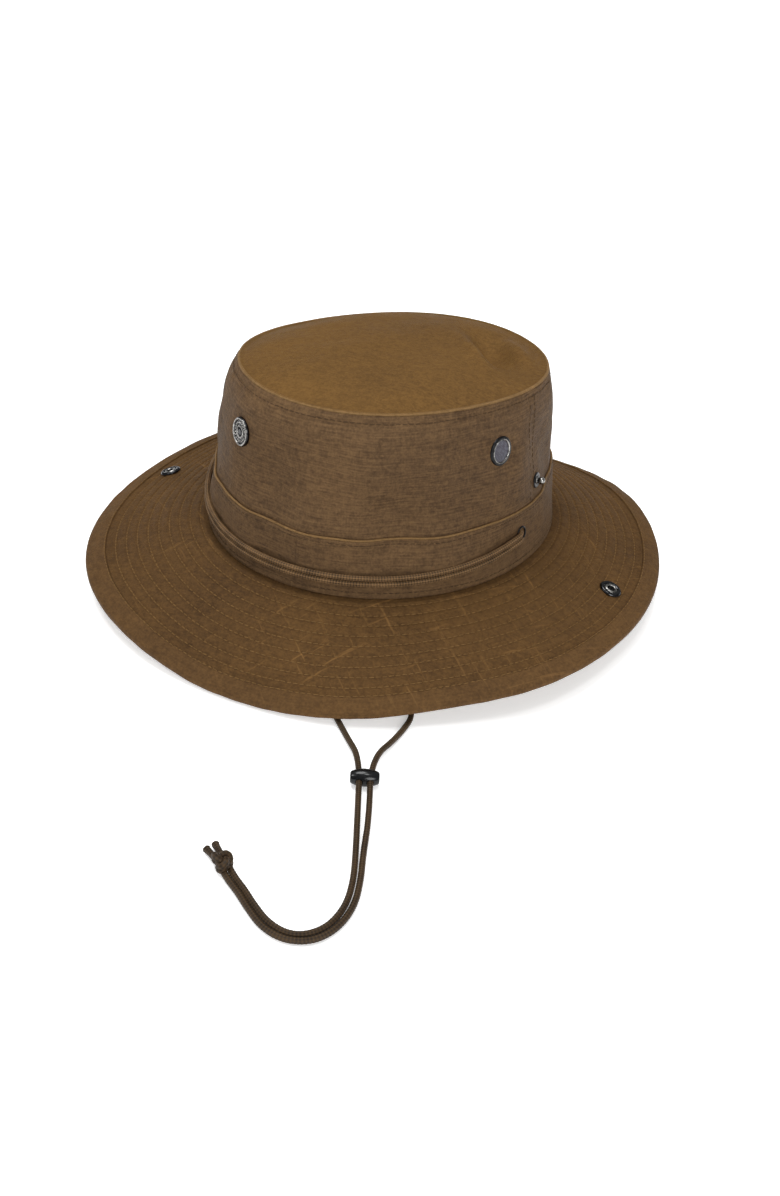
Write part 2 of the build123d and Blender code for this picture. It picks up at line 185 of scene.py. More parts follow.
# ---------------------------------------------------------------- materials
def canvas(name, light, dark, slub=0.5, scuff=0.5, weave=0.00055):
    """Waxed plain-weave cloth: threads, slubs, patchy wax, pale scuffs and a dull sheen."""
    n = Nodes(name)
    cloth = n.add("ShaderNodeUVMap", uv_map="cloth").outputs[0]
    place = n.add("ShaderNodeTexCoord").outputs["Object"]
    split = n.add("ShaderNodeSeparateXYZ", {0: cloth})
    waves = [n.math("SINE", n.math("MULTIPLY", split.outputs[i], 2 * pi / weave)) for i in (0, 1)]
    threads = n.math("MULTIPLY", waves[0], waves[1])
    patches = n.noise(place, 16.0, 3.0, 0.5)
    mottling = n.math("ADD", n.noise(place, 900.0, 2.0, 0.6), n.noise(place, 320.0, 3.0, 0.6))
    across = n.noise(n.scaled(cloth, (60.0, 1100.0, 1.0)), 1.0, 3.0, 0.65)
    along = n.noise(n.scaled(cloth, (1300.0, 120.0, 1.0)), 1.0, 3.0, 0.65)
    grain = n.math("ADD", n.math("MULTIPLY", across, 0.8), n.math("MULTIPLY", along, 0.2))
    shade = n.math("ADD", n.ramp(patches, 0.3, 0.7, -0.35, 0.35), n.ramp(grain, 0.35, 0.65, -slub, slub))
    shade = n.math("ADD", shade, n.ramp(mottling, 0.75, 1.25, -0.55, 0.55))
    colour = n.mix(n.ramp(shade, -1.0, 1.0), dark, light)
    scuffs = 0.0
    for turn, seed in ((0.7, 3.1), (-0.9, 7.7)):
        inputs = {"Vector": place, "Rotation": (0.0, 0.0, turn), "Location": (seed, seed, seed)}
        turned = n.add("ShaderNodeMapping", inputs).outputs[0]
        streaks = n.noise(n.scaled(turned, (22.0, 420.0, 60.0)), 1.0, 3.0, 0.6)
        scuffs = n.math("ADD", scuffs, n.ramp(streaks, 0.62, 0.74))
    seen = n.ramp(n.noise(place, 20.0, 2.0), 0.4, 0.6)
    scuffs = n.math("MULTIPLY", n.math("MULTIPLY", scuffs, seen), scuff, clamp=True)
    pale = tuple(min(1.0, c * 1.7) for c in light[:3]) + (1.0,)
    colour = n.mix(scuffs, colour, pale)
    height = n.math("ADD", n.math("MULTIPLY", threads, 0.35), n.math("MULTIPLY", grain, 1.4))
    fine = n.bump(height, 0.0002, 0.9)
    soft = n.bump(n.noise(place, 90.0, 3.0), 0.0012, 0.35, fine)
    n.set(Base_Color=colour, Roughness=n.ramp(patches, 0.3, 0.7, 0.62, 0.8), Normal=soft)
    n.set(Specular_IOR_Level=0.1)
    return n.material


def thread(name, colour):
    n = Nodes(name)
    place = n.add("ShaderNodeTexCoord").outputs["Object"]
    shade = n.noise(place, 900.0, 2.0)
    dark = tuple(c * 0.6 for c in colour[:3]) + (1.0,)
    n.set(Base_Color=n.mix(n.ramp(shade, 0.3, 0.7), dark, colour), Roughness=0.7)
    n.set(Normal=n.bump(shade, 0.0001, 0.6), Specular_IOR_Level=0.15)
    return n.material


def braid(name, light, dark):
    """Braided cord: the carriers cross in a diamond pattern, with a satin sheen; the hollows between the
    carriers are painted darker, as painted shade.
    """
    n = Nodes(name)
    cloth = n.add("ShaderNodeUVMap", uv_map="cloth").outputs[0]
    place = n.add("ShaderNodeTexCoord").outputs["Object"]
    split = n.add("ShaderNodeSeparateXYZ", {0: cloth})
    round_it = n.math("MULTIPLY", split.outputs[0], 6 * pi)
    along_it = n.math("MULTIPLY", split.outputs[1], 2 * pi / 0.0028)
    one = n.math("SINE", n.math("ADD", round_it, along_it))
    two = n.math("SINE", n.math("SUBTRACT", round_it, along_it))
    check = n.math("MULTIPLY", one, two)
    fibres = n.noise(n.scaled(cloth, (40.0, 9000.0, 1.0)), 1.0, 2.0)
    # the dark end of this mix falls in the low points between the carriers: painted shade in the braid's
    # hollows
    shade = n.math("ADD", n.ramp(check, -1.0, 1.0, 0.1, 0.9), n.ramp(fibres, 0.3, 0.7, -0.3, 0.3))
    patches = n.noise(place, 120.0, 2.0)
    shade = n.math("ADD", shade, n.ramp(patches, 0.3, 0.7, -0.15, 0.15), clamp=True)
    height = n.math("ADD", n.math("MULTIPLY", check, 0.7), n.math("MULTIPLY", fibres, 0.4))
    n.set(Base_Color=n.mix(shade, dark, light), Roughness=0.6, Normal=n.bump(height, 0.00015, 0.7))
    n.set(Specular_IOR_Level=0.2)
    return n.material


def metal(name, colour, rough, metallic=1.0, grime=0.5):
    """Plated metal with fine scratches and darker tarnish in patches."""
    n = Nodes(name)
    place = n.add("ShaderNodeTexCoord").outputs["Object"]
    patches = n.noise(place, 700.0, 4.0, 0.6)
    scratches = n.noise(n.scaled(place, (1.0, 6.0, 1.0)), 1500.0, 2.0)
    dark = tuple(c * (1 - grime) for c in colour[:3]) + (1.0,)
    n.set(Base_Color=n.mix(n.ramp(patches, 0.35, 0.65), dark, colour), Metallic=metallic)
    n.set(Roughness=n.ramp(scratches, 0.3, 0.7, rough * 0.7, rough * 1.5))
    n.set(Normal=n.bump(scratches, 0.00003, 0.4))
    return n.material


def plastic(name, colour):
    n = Nodes(name)
    place = n.add("ShaderNodeTexCoord").outputs["Object"]
    scuffs = n.noise(place, 1100.0, 5.0, 0.7)
    n.set(Base_Color=n.mix(n.ramp(scuffs, 0.4, 0.7), colour, rgb(20, 20, 22)), Specular_IOR_Level=0.3)
    n.set(Roughness=n.ramp(scuffs, 0.3, 0.7, 0.12, 0.26), Normal=n.bump(scuffs, 0.00004, 0.3))
    return n.material


def felt(name, light, dark):
    """Non-woven web or twill inside the hat, with matted fibres."""
    n = Nodes(name)
    place = n.add("ShaderNodeTexCoord").outputs["Object"]
    fibres = n.noise(place, 1300.0, 4.0, 0.7)
    patches = n.noise(place, 60.0, 2.0)
    shade = n.math("ADD", n.math("MULTIPLY", fibres, 0.6), n.math("MULTIPLY", patches, 0.4))
    n.set(Base_Color=n.mix(n.ramp(shade, 0.35, 0.65), dark, light), Roughness=0.9)
    n.set(Normal=n.bump(fibres, 0.0002, 0.6), Sheen_Weight=0.3)
    return n.material


def twill(name, light, dark):
    """Sweatband tape: diagonal twill ribs."""
    n = Nodes(name)
    cloth = n.add("ShaderNodeUVMap", uv_map="cloth").outputs[0]
    place = n.add("ShaderNodeTexCoord").outputs["Object"]
    split = n.add("ShaderNodeSeparateXYZ", {0: cloth})
    slope = n.math("ADD", split.outputs[0], split.outputs[1])
    ribs = n.math("SINE", n.math("MULTIPLY", slope, 2 * pi / 0.0012))
    worn = n.noise(place, 50.0, 3.0)
    shade = n.math("ADD", n.ramp(ribs, -1.0, 1.0, 0.0, 0.5), n.ramp(worn, 0.3, 0.7, 0.0, 0.5))
    n.set(Base_Color=n.mix(shade, dark, light), Roughness=0.85, Normal=n.bump(ribs, 0.00012, 0.5))
    n.set(Sheen_Weight=0.2)
    return n.material


def make_materials():
    made = {
        "crown": canvas("crown_canvas", rgb(108, 83, 56), rgb(66, 49, 33), 0.6, 0.12),
        "tip": canvas("tip_canvas", rgb(116, 85, 44), rgb(82, 58, 28), 0.2, 0.15),
        "brim": canvas("brim_canvas", rgb(98, 71, 39), rgb(61, 42, 22), 0.25, 0.8),
        "hem": canvas("hem_canvas", rgb(101, 74, 43), rgb(68, 48, 27), 0.25, 0.4),
        # the pale welt colour is partly wear on the folded edges and partly a painted highlight along
        # the seam ridges
        "edge": canvas("worn_edge_and_highlight_canvas", rgb(136, 106, 68), rgb(104, 79, 49), 0.3, 0.3),
        "under": canvas("under_canvas", rgb(92, 68, 42), rgb(66, 48, 29), 0.3, 0.1),
        "dark_thread": thread("dark_thread", rgb(74, 55, 34)),
        "brim_thread": thread("brim_thread", rgb(120, 90, 52)),
        "braid": braid("cord_braid", rgb(74, 56, 35), rgb(26, 19, 12)),
        "crown_braid": braid("crown_cord_braid", rgb(126, 96, 62), rgb(20, 14, 9)),
        "gunmetal": metal("gunmetal", (0.05, 0.05, 0.053, 1.0), 0.16, 1.0, 0.5),
        "silver": metal("silver_metal", (0.42, 0.41, 0.39, 1.0), 0.22, 1.0, 0.8),
        "mesh": metal("steel_mesh", (0.20, 0.195, 0.23, 1.0), 0.4, 0.8, 0.4),
        "black_metal": metal("black_metal", (0.02, 0.02, 0.021, 1.0), 0.3, 0.9, 0.5),
        "plastic": plastic("black_plastic", rgb(5, 5, 6)),
        "web": felt("stiffener_web", rgb(205, 200, 188), rgb(170, 164, 150)),
        "tape": twill("sweatband_tape", rgb(74, 58, 44), rgb(44, 33, 24)),
    }
    return made


# ---------------------------------------------------------------- mesh helpers
def mesh_object(name, points, faces, material, uv=None, smooth=True):
    """A mesh from arrays; uv holds one pair of metres for each point."""
    data = bpy.data.meshes.new(name)
    data.from_pydata(np.asarray(points, float).tolist(), [], [tuple(f) for f in faces])
    if uv is not None:
        layer = data.uv_layers.new(name="cloth")
        corners = np.zeros(len(data.loops), np.int32)
        data.loops.foreach_get("vertex_index", corners)
        layer.data.foreach_set("uv", np.asarray(uv, np.float32)[corners].ravel())
    data.materials.append(material)
    if smooth:
        data.polygons.foreach_set("use_smooth", [True] * len(data.polygons))
    data.update()
    obj = bpy.data.objects.new(name, data)
    bpy.context.collection.objects.link(obj)
    return obj


def grid_faces(rows, columns, wrap_rows=False, wrap_columns=False, first=0):
    """Quads of a grid of points stored row after row."""
    i = np.arange(rows if wrap_rows else rows - 1)
    j = np.arange(columns if wrap_columns else columns - 1)
    i, j = np.meshgrid(i, j, indexing="ij")
    k, m = (i + 1) % rows, (j + 1) % columns
    quads = np.stack([i * columns + j, i * columns + m, k * columns + m, k * columns + j], -1)
    return (quads.reshape(-1, 4) + first).tolist()


def swept(name, points, uv, material, closed_ring):
    """A closed section carried round the hat: rows of points, one row to a section."""
    rows, columns = points.shape[:2]
    faces = grid_faces(rows, columns, closed_ring, True)
    if not closed_ring:
        first = rows * columns
        points = np.concatenate([points, points[:1], points[-1:]])
        uv = np.concatenate([uv, uv[:1], uv[-1:]])
        faces.append(list(range(first, first + columns))[::-1])
        faces.append(list(range(first + columns, first + 2 * columns)))
    return outward(mesh_object(name, points.reshape(-1, 3), faces, material, uv.reshape(-1, 2)))


def outward(obj):
    """The same mesh, its faces turned outward if its volume comes out negative."""
    work = bmesh.new()
    work.from_mesh(obj.data)
    if work.calc_volume(signed=True) < 0:
        bmesh.ops.reverse_faces(work, faces=work.faces)
        work.to_mesh(obj.data)
    work.free()
    return obj


def ripple(points, wavelength, seed, waves=7):
    """A smooth random field between about -1 and 1 at an array of points."""
    random = np.random.RandomState(seed)
    points = np.asarray(points, float)
    total = np.zeros(points.shape[:-1])
    for _ in range(waves):
        direction = random.normal(size=3)
        direction *= 2 * pi / wavelength / np.linalg.norm(direction) * random.uniform(0.6, 1.5)
        total += np.sin(points @ direction + random.uniform(0, 2 * pi))
    return total / sqrt(waves) / 1.2


def join(objects, name):
    """One mesh from several, keeping their materials."""
    for o in bpy.context.selected_objects:
        o.select_set(False)
    for o in objects:
        o.select_set(True)
    bpy.context.view_layer.objects.active = objects[0]
    bpy.ops.object.join()
    whole = bpy.context.view_layer.objects.active
    whole.name = name
    whole.select_set(False)
    return whole


def lathe(name, profile, place, material, segments=48):
    """A profile of (radius, height) turned about z and set at a place on the hat."""
    turns = 2 * pi * np.arange(segments) / segments
    points = [(r * cos(turn), r * sin(turn), z) for turn in turns for r, z in profile]
    faces = grid_faces(segments, len(profile), True, False)
    obj = mesh_object(name, points, faces, material)
    work = bmesh.new()
    work.from_mesh(obj.data)
    bmesh.ops.remove_doubles(work, verts=work.verts, dist=1e-6)
    bmesh.ops.recalc_face_normals(work, faces=work.faces)
    work.to_mesh(obj.data)
    work.free()
    obj.data.transform(place)
    return obj


def rounded(corners, radius=0.0002, steps=3):
    """A closed profile with its corners rounded, for lathe."""
    points = [np.array(c, float) for c in corners]
    done = []
    for before, here, after in zip([points[-1]] + points[:-1], points, points[1:] + [points[0]]):
        back, ahead = before - here, after - here
        reach = min(radius, np.linalg.norm(back) * 0.45, np.linalg.norm(ahead) * 0.45)
        a = here + back / np.linalg.norm(back) * reach
        b = here + ahead / np.linalg.norm(ahead) * reach
        if here[0] < 1e-9:
            done.append(tuple(here))
            continue
        for k in range(steps + 1):
            t = k / steps
            done.append(tuple((1 - t) ** 2 * a + 2 * t * (1 - t) * here + t**2 * b))
    return done + [done[0]]


# ---------------------------------------------------------------- cords
def nurbs_points(name, route):
    """Points along the smooth line whose control points are the route's, in millimetres."""
    curve = bpy.data.curves.new(name + "_line", "CURVE")
    curve.dimensions = "3D"
    curve.resolution_u = 24
    spline = curve.splines.new("NURBS")
    spline.points.add(len(route) - 1)
    for point, (x, y, z) in zip(spline.points, route):
        point.co = (x * MM, y * MM, z * MM, 1.0)
    spline.order_u = 3
    spline.use_endpoint_u = True
    line = bpy.data.objects.new(name + "_line", curve)
    bpy.context.collection.objects.link(line)
    bpy.context.view_layer.update()
    mesh = bpy.data.meshes.new_from_object(line)
    points = [tuple(v.co) for v in mesh.vertices]
    bpy.data.objects.remove(line)
    bpy.data.meshes.remove(mesh)
    return points


def evenly(points, step):
    """The same line, with points at an even step."""
    points = np.array(points)
    lengths = np.r_[0, np.cumsum(np.linalg.norm(np.diff(points, axis=0), axis=1))]
    count = max(2, int(lengths[-1] / step))
    at = np.linspace(0, lengths[-1], count + 1)
    return np.stack([np.interp(at, lengths, points[:, i]) for i in range(3)], -1), at


def braided_tube(name, line, material, radius=CORD_R, step=0.0004, sides=20, flare=0.0, relief=0.07):
    """A round cord along a line, its surface raised where the braid's carriers cross on top."""
    points, at = evenly(line, step)
    tangents = np.gradient(points, axis=0)
    tangents /= np.linalg.norm(tangents, axis=1)[:, None]
    side = np.cross(tangents[0], (0, 0, 1.0) if abs(tangents[0][2]) < 0.9 else (1.0, 0, 0))
    sides_at = []
    for tangent in tangents:
        side = side - tangent * (side @ tangent)
        side /= np.linalg.norm(side)
        sides_at.append(side)
    sides_at = np.array(sides_at)
    ups = np.cross(tangents, sides_at)
    turns = 2 * pi * np.arange(sides) / sides
    along, turn = np.meshgrid(at, turns, indexing="ij")
    one = np.sin(3 * turn + along * 2 * pi / 0.0028)
    two = np.sin(3 * turn - along * 2 * pi / 0.0028)
    size = radius * (1 - relief + relief * one * two)
    size *= 1 + flare * np.clip((along - at[-1] * 0.55) / (at[-1] * 0.45), 0, 1) ** 2
    ring = sides_at[:, None] * np.cos(turn)[..., None] + ups[:, None] * np.sin(turn)[..., None]
    mesh = points[:, None] + ring * size[..., None]
    uv = np.stack([turn / (2 * pi), along], -1)
    rows = len(points)
    faces = grid_faces(rows, sides, False, True)
    faces.append(list(range(sides)))
    faces.append([(rows - 1) * sides + j for j in range(sides)][::-1])
    obj = mesh_object(name, mesh.reshape(-1, 3), faces, material, uv.reshape(-1, 2))
    outward(obj)
    return obj


def crown_point(angle, height, offset=0.0):
    """A point at an angle and height on the crown's wall, moved out by an offset."""
    return crown_matrix(angle, height, 0.0, offset).translation


def crown_matrix(angle, height, inset=0.0, offset=0.0):
    """A place on the crown's wall: z points out of the wall and x goes round the crown."""
    share = height / CROWN_HEIGHT
    across, along = [b + (t - b) * share - inset for b, t in zip(BOTTOM_AXES, TOP_AXES)]
    s, c = sin(radians(angle)), cos(radians(angle))
    slopes = [(t - b) / CROWN_HEIGHT for b, t in zip(BOTTOM_AXES, TOP_AXES)]
    lean = s * s * slopes[0] / across + c * c * slopes[1] / along
    normal = Vector((s / across, -c / along, -lean)).normalized()
    place = Vector((across * s, -along * c, JUNCTION_Z + height)) + normal * offset
    x = Vector((0, 0, 1)).cross(normal).normalized()
    y = normal.cross(x)
    matrix = Matrix((x, y, normal)).transposed().to_4x4()
    matrix.translation = place
    return matrix


def crown_cord_route(offset):
    """The strand's route round the front, in millimetres, as the CAD tube has it."""
    inner = (83.0, -24.1, 49.8 + offset)
    height = EYELET_HEIGHT + offset * MM
    points = [inner, tuple(crown_point(EYELET_ANGLE, height, 0.00265) / MM)]
    for step in range(1, 13):
        angle = EYELET_ANGLE * (1 - step / 12)
        height = 0.0105 + 0.007 * (angle / EYELET_ANGLE) ** 3 + offset * MM
        points.append(tuple(crown_point(angle, height, 0.00205) / MM))
    return points + [(-x, y, z) for x, y, z in reversed(points[:-1])]


def overhand_knot(name, centre, heading, size, material, strands=2, radius=0.00125):
    """A tight overhand knot: strands side by side along a trefoil, pulled long."""
    frame_x = Vector(heading).normalized()
    frame_y = Vector((0, 0, 1)).cross(frame_x).normalized()
    frame_z = frame_x.cross(frame_y)
    parts = []
    for k in range(strands):
        shift = (k - (strands - 1) / 2) * radius * 1.5
        line = []
        for t in np.linspace(0.12, 2 * pi - 0.12, 90):
            u = (sin(t) + 2 * sin(2 * t)) * size * 1.25
            v = (cos(t) - 2 * cos(2 * t)) * size
            w = -sin(3 * t) * size * 0.9 + shift
            line.append(Vector(centre) + frame_x * u + frame_y * v + frame_z * w)
        parts.append(braided_tube(f"{name}_{k}", line, material, radius, 0.0005, 14))
    return join(parts, name)


def make_cords(m):
    tails = []
    for k, route in enumerate(CORD_TAILS):
        line = nurbs_points(f"tail_{k}", route)
        tails.append(braided_tube(f"tail_{k}", line, m["braid"], flare=0.22))
    tail = join(tails, "cord_tails_braided")
    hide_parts("cord_tails")
    knot = overhand_knot(
        "overhand_knot", (0.0500, -0.2613, 0.0041), (-0.81, 0.58, 0), 0.00108, m["braid"], 2, 0.00145
    )
    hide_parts("cord_knot")
    for obj in (tail, knot):
        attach(obj, "hat")
    for word, route in (("left", CHIN_CORD_LEFT), ("right", CHIN_CORD_RIGHT)):
        line = nurbs_points("chin_" + word, route)
        cord = braided_tube("chin_cord_braided_" + word, line, m["braid"])
        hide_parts("chin_cord_" + word)
        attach(cord, "hat")
    for word, offset in (("upper", 1.5), ("lower", -1.5)):
        line = nurbs_points("crown_" + word, crown_cord_route(offset))
        cord = braided_tube("crown_cord_braided_" + word, line, m["crown_braid"], relief=0.1)
        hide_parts("crown_cord_" + word)
        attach(cord, "hat")
    stops = [
        overhand_knot(f"stop_{side}", (side * 0.0808, -0.0241, 0.0498 - side * 0.0026),
                      (side, 0, 0), 0.00042, m["braid"], 1, 0.0008)
        for side in (1, -1)
    ]
    stop = join(stops, "stopper_knots")
    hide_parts("cord_stops")
    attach(stop, "hat")


# ---------------------------------------------------------------- cloth surfaces
def bump_at(x, y, centre, radii):
    """A smooth bump of height 1 at a centre, fading with distance."""
    return np.exp(-(((x - centre[0]) / radii[0]) ** 2) - ((y - centre[1]) / radii[1]) ** 2)


def seam_drop(x, y):
    """How far the tip's seam hangs lower at the right and the back of it."""
    turn = np.arctan2(x / TOP_AXES[0], -y / TOP_AXES[1])
    away = (turn + radians(112) + pi) % (2 * pi) - pi
    return 0.0075 * np.exp(-((away / radians(55)) ** 2))


def level_height(y):
    """Height of the tip before it slumps: it falls slowly towards the back."""
    return JUNCTION_Z + CROWN_HEIGHT - BACK_SLUMP * ((y + TOP_AXES[1]) / (2 * TOP_AXES[1])) ** 2


def seam_height(x, y):
    return level_height(y) - seam_drop(x, y)


def stud_angle(side):
    """The angle round the crown at which a snap stud stands SNAP_Y along the head."""
    along = BOTTOM_AXES[1] + (TOP_AXES[1] - BOTTOM_AXES[1]) * STUD_HEIGHT / CROWN_HEIGHT - INSET
    return side * (90 + degrees(SNAP_Y / along))


def fitting_calm(points):
    """0 at the metal fittings, where the cloth lies true, rising to 1 away from them."""
    spots = [(a, VENT_HEIGHT) for a in VENT_ANGLES] + [(EMBLEM_ANGLE, EMBLEM_HEIGHT)]
    spots += [(s * EYELET_ANGLE, EYELET_HEIGHT) for s in (1, -1)]
    spots += [(stud_angle(s), STUD_HEIGHT) for s in (1, -1)]
    centres = [crown_point(angle, height) for angle, height in spots]
    centres += [Vector((s * SOCKET_X, SNAP_Y, 0.02)) for s in (1, -1)]
    calm = 1.0
    for centre in centres:
        away = np.sum((points - np.array(centre)) ** 2, axis=-1)
        calm = calm * (1 - np.exp(-away / 0.012**2))
    return calm


def shoulder(turn):
    """How far the wall rolls in to the tip's seam: least at the left side of the crown."""
    away = (turn - radians(95) + pi) % (2 * pi) - pi
    return SHOULDER * (1 - 0.85 * np.exp(-((away / radians(32)) ** 2)))


def seam_place(turn):
    """Where the tip's seam lies, across and along the head."""
    across, along = [a - INSET - shoulder(turn) for a in TOP_AXES]
    return across * np.sin(turn), -along * np.cos(turn)


def wall_normal(turn):
    return np.stack([np.sin(turn), -np.cos(turn), np.full_like(turn, 0.12)], -1) / 1.007


def wall_cloth(turn, share, inset, out=0.0):
    """Points of the soft wall; share is 0 at the brim and 1 at the tip's seam."""
    turn, share = np.broadcast_arrays(np.asarray(turn, float), np.asarray(share, float))
    rise = share * (seam_height(*seam_place(turn)) - JUNCTION_Z)
    roll = np.clip((share - SHOULDER_START) / (1 - SHOULDER_START), 0, 1.03) ** 2
    lean = inset + shoulder(turn) * roll
    across, along = [b + (t - b) * rise / CROWN_HEIGHT - lean for b, t in zip(BOTTOM_AXES, TOP_AXES)]
    points = np.stack([across * np.sin(turn), -along * np.cos(turn), JUNCTION_Z + rise], -1)
    calm = fitting_calm(points)
    held = np.sin(pi * np.clip(share, 0, 1)) ** 0.6 * calm
    soft = ripple(points * (1, 1, 0.8), 0.045, 3) * 0.0024 + ripple(points, 0.018, 8) * 0.00028
    pucker = ripple(points * (1, 1, 0.2), 0.009, 12) * np.exp(-(((share - 0.955) / 0.03) ** 2))
    bulge = 0.0016 * np.exp(-(((share - 1.0) / 0.25) ** 2)) * np.sin(turn) ** 4
    out = out + soft * held + pucker * 0.00032 + bulge * calm
    return points + wall_normal(turn) * np.asarray(out)[..., None]


def welt(name, line, out, radius, material):
    """A rounded folded edge that runs round the crown."""
    sides = 2 * pi * np.arange(10) / 10
    up = np.array((0, 0, 1.0))
    ring = out[:, None] * np.cos(sides)[None, :, None] + up * np.sin(sides)[None, :, None]
    points = line[:, None] + ring * radius
    arc = np.linspace(0, 0.62, len(line))[:, None]
    uv = np.stack(np.broadcast_arrays(arc, sides[None] * radius), -1)
    return swept(name, points, uv, material, True)


def layer(turns, low, high, inset, thick, steps, lip=0.0):
    """Sections of a cloth layer of the wall: up the outside, then down the inside."""
    outside = np.linspace(low, high, steps + 1)
    inside = outside[::-1][:: max(1, steps // 14)]
    share = np.concatenate([outside, inside])
    skin = np.concatenate([np.full(steps + 1, inset), np.full(len(inside), inset + thick)])
    edge = np.zeros(len(share))
    edge[[0, steps]] = -0.35 * thick
    edge[:steps] += lip * np.exp(-((((share[:steps] - high) * 91.5 + 1.4) / 1.1) ** 2))
    turn = np.asarray(turns)[:, None]
    points = wall_cloth(turn, share[None], skin[None], edge[None])
    arc = np.broadcast_to(turn * (BOTTOM_AXES[0] + BOTTOM_AXES[1]) / 2, points.shape[:2])
    return points, np.stack([arc, points[..., 2]], -1)


def open_vents(panel):
    """Cut the cloth away behind the vents' screens; the grommets cover the cut edges."""
    centres = [crown_point(angle, VENT_HEIGHT) for angle in VENT_ANGLES]
    work = bmesh.new()
    work.from_mesh(panel.data)
    middles = [(face, face.calc_center_median()) for face in work.faces]
    behind = [face for face, at in middles if min((at - c).length for c in centres) < VENT_CUT]
    bmesh.ops.delete(work, geom=behind, context="FACES")
    work.to_mesh(panel.data)
    work.free()


def make_crown(m):
    whole = np.linspace(0, 2 * pi, 480, endpoint=False)
    seam = radians(83.1)
    panels = {"front": np.linspace(-seam, seam, 240)}
    panels["back"] = np.linspace(seam + 0.0006, 2 * pi - seam - 0.0006, 260)
    for word, turns in panels.items():
        points, uv = layer(turns, 0.0, 1.004, INSET, CLOTH, 84, 0.0004)
        panel = swept(f"crown_wall_{word}", points, uv, m["crown"], False)
        open_vents(panel)
        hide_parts(f"crown_{word}_panel")
        dress(panel)
    rings = (
        ("hat_band", BAND_HEIGHT, 0.0, CLOTH, 28, 0.00025, "crown", "crown_canvas"),
        ("sweatband", 0.034, 0.0019, 0.0016, 28, 0.0, "tape", "sweatband_cotton"),
    )
    # the welts at the tip seam and the band top take the pale edge colour, partly a painted highlight
    welts = (("tip", 1.0, INSET, 0.0009), ("band", BAND_HEIGHT / CROWN_HEIGHT, 0.0, 0.0006))
    for name, share, inset, radius in welts:
        line = wall_cloth(whole, share, inset, -0.5 * radius)
        dress(welt(name + "_welt", line, wall_normal(whole), radius, m["edge"]))
    for node, height, inset, thick, steps, lip, material, slot in rings:
        points, uv = layer(whole, 0.0, height / CROWN_HEIGHT, inset, thick, steps, lip)
        ring = swept(node + "_cloth", points, uv, m[material], True)
        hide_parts(node)
        dress(ring)


def tip_height(x, y, reach):
    """The tip: a low dome, with a soft dent and two slack folds beside its left seam."""
    free = 1 - reach**8
    flat = np.stack([x, y, np.zeros_like(x)], -1)
    z = level_height(y) - seam_drop(x, y) * reach**2.6 + 0.0074 * (1 - reach**3)
    along, across = 0.6 * x - 0.8 * y, 0.8 * x + 0.6 * y
    z = z - 0.0105 * bump_at(along, across, (0.008, 0.053), (0.022, 0.010)) * free
    z = z + 0.0042 * bump_at(along, across, (0.011, 0.039), (0.020, 0.0050)) * free
    z = z + 0.0036 * bump_at(along, across, (0.006, 0.066), (0.016, 0.0050)) * free
    return z + (ripple(flat, 0.055, 21) * 0.0009 + ripple(flat, 0.02, 22) * 0.0002) * free


def make_tip(m):
    """The crown's tip: two skins closed at the seam, which turns up into a thin ridge."""
    rings, columns = 72, 400
    share = np.linspace(0, 1, rings + 1)[1:]
    share = np.concatenate([share, share[::-1]])[:, None]
    upper = (np.arange(2 * rings) < rings)[:, None]
    turn = np.linspace(0, 2 * pi, columns, endpoint=False)[None]
    x, y = [side * share for side in seam_place(turn)]
    bulge = 1 + 0.02 * np.sin(turn) ** 4 * share**8
    x, y = x * bulge, y * bulge
    ridge = 0.0009 * np.exp(-(((share - 1.0) / 0.012) ** 2))
    z = tip_height(x, y, share) + np.where(upper, ridge, -0.0012)
    middle = tip_height(*np.zeros((3, 1)))[0]
    points = np.stack([x, y, z], -1).reshape(-1, 3).tolist()
    points += [(0, 0, middle), (0, 0, middle - 0.0012)]
    faces = grid_faces(2 * rings, columns, False, True)
    top, last = len(points) - 2, (2 * rings - 1) * columns
    for j in range(columns):
        after = (j + 1) % columns
        faces.append([top, after, j])
        faces.append([top + 1, last + j, last + after])
    uv = [p[:2] for p in points]
    tip = outward(mesh_object("crown_tip_cloth", points, faces, m["tip"], uv))
    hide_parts("crown_tip")
    dress(tip)


def dress(piece, body="hat"):
    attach(piece, body)


# ---------------------------------------------------------------- brim
def brim_cloth(turn, share, lift=0.0):
    """Points of the brim's middle surface, share 0 at the crown and 1 at the edge."""
    turn, share = np.broadcast_arrays(np.asarray(turn, float), np.asarray(share, float))
    across, along = [b + (e - b) * share for b, e in zip(BOTTOM_AXES, BRIM_AXES)]
    fall = EDGE_MEAN - EDGE_SIDE_LIFT * np.cos(2 * turn) - EDGE_CORNER_LIFT * np.cos(4 * turn)
    outline = sum(size * np.exp(-(((turn - at) / width) ** 2)) for at, width, size in OUTLINE)
    x = (across + outline * share**2) * np.sin(turn)
    y = -(along + outline * share**2) * np.cos(turn)
    flat = np.stack([x, y, np.full_like(x, 0.02)], -1)
    waves = (ripple(flat, 0.07, 5) * 0.0007 + ripple(flat, 0.018, 6) * 0.00014) * fitting_calm(flat)
    corner = sum(size * np.exp(-(((turn - at) / width) ** 2)) for at, width, size in EDGE_WAVES)
    z = JUNCTION_Z + fall * share + lift + waves * np.clip(share, 0, 1) + corner * share**2
    return np.stack([x, y, z], -1)


def row_share(row):
    return (row + 0.75) * HEM_START / (ROWS + 0.6)


def quilting(share):
    """Depth of the quilting: the cloth dips at each row of stitches."""
    return sum(-0.0006 * np.exp(-(((share - row_share(row)) / 0.013) ** 2)) for row in range(ROWS))


